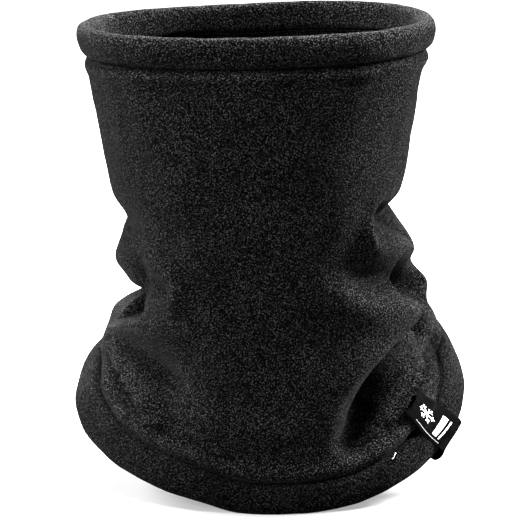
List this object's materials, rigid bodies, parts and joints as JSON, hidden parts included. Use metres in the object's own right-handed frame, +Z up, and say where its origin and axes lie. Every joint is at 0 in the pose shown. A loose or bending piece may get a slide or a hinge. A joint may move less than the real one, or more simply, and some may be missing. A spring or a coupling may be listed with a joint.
{
  "type": "neck gaiter",
  "caption": "Soft fleece neck gaiter: an open tube with a folded band sewn round each end, crumpled at the sides, flared hem and a small woven label.",
  "frame": {"origin": "on the floor, under the middle of the gaiter's bounding box, with the hem resting at its front and back", "axes": "+Z up through the neck passage; -Y to the front; +X to the right as seen from the front, the label's side"},
  "size_m": [0.2011, 0.1622, 0.2385],
  "materials": {
    "fleece": "black polyester fleece with a short pebbled nap, matt with a soft sheen",
    "black_thread": "black spun polyester sewing thread, dull",
    "label_satin": null,
    "white_thread": "white spun polyester thread, dull"
  },
  "bodies": {
    "lower": {"fleece_tube": "fleece", "bottom_band": "fleece", "bottom_stitch_row": "black_thread", "bottom_band_seam": "black_thread", "back_seam_overlock": "black_thread", "woven_label": "label_satin", "label_stitch_row": "black_thread", "label_thread_end": "white_thread"},
    "upper": {"top_band": "fleece", "top_stitch_row": "black_thread", "top_band_seam": "black_thread"}
  },
  "joints": [
    {"name": "top_edge_slide", "type": "slide", "parent": "lower", "child": "upper", "axis": [0, 0, 1], "range_m": [-0.045, 0.015], "deforming": ["fleece_tube", "back_seam_overlock"]}
  ]
}
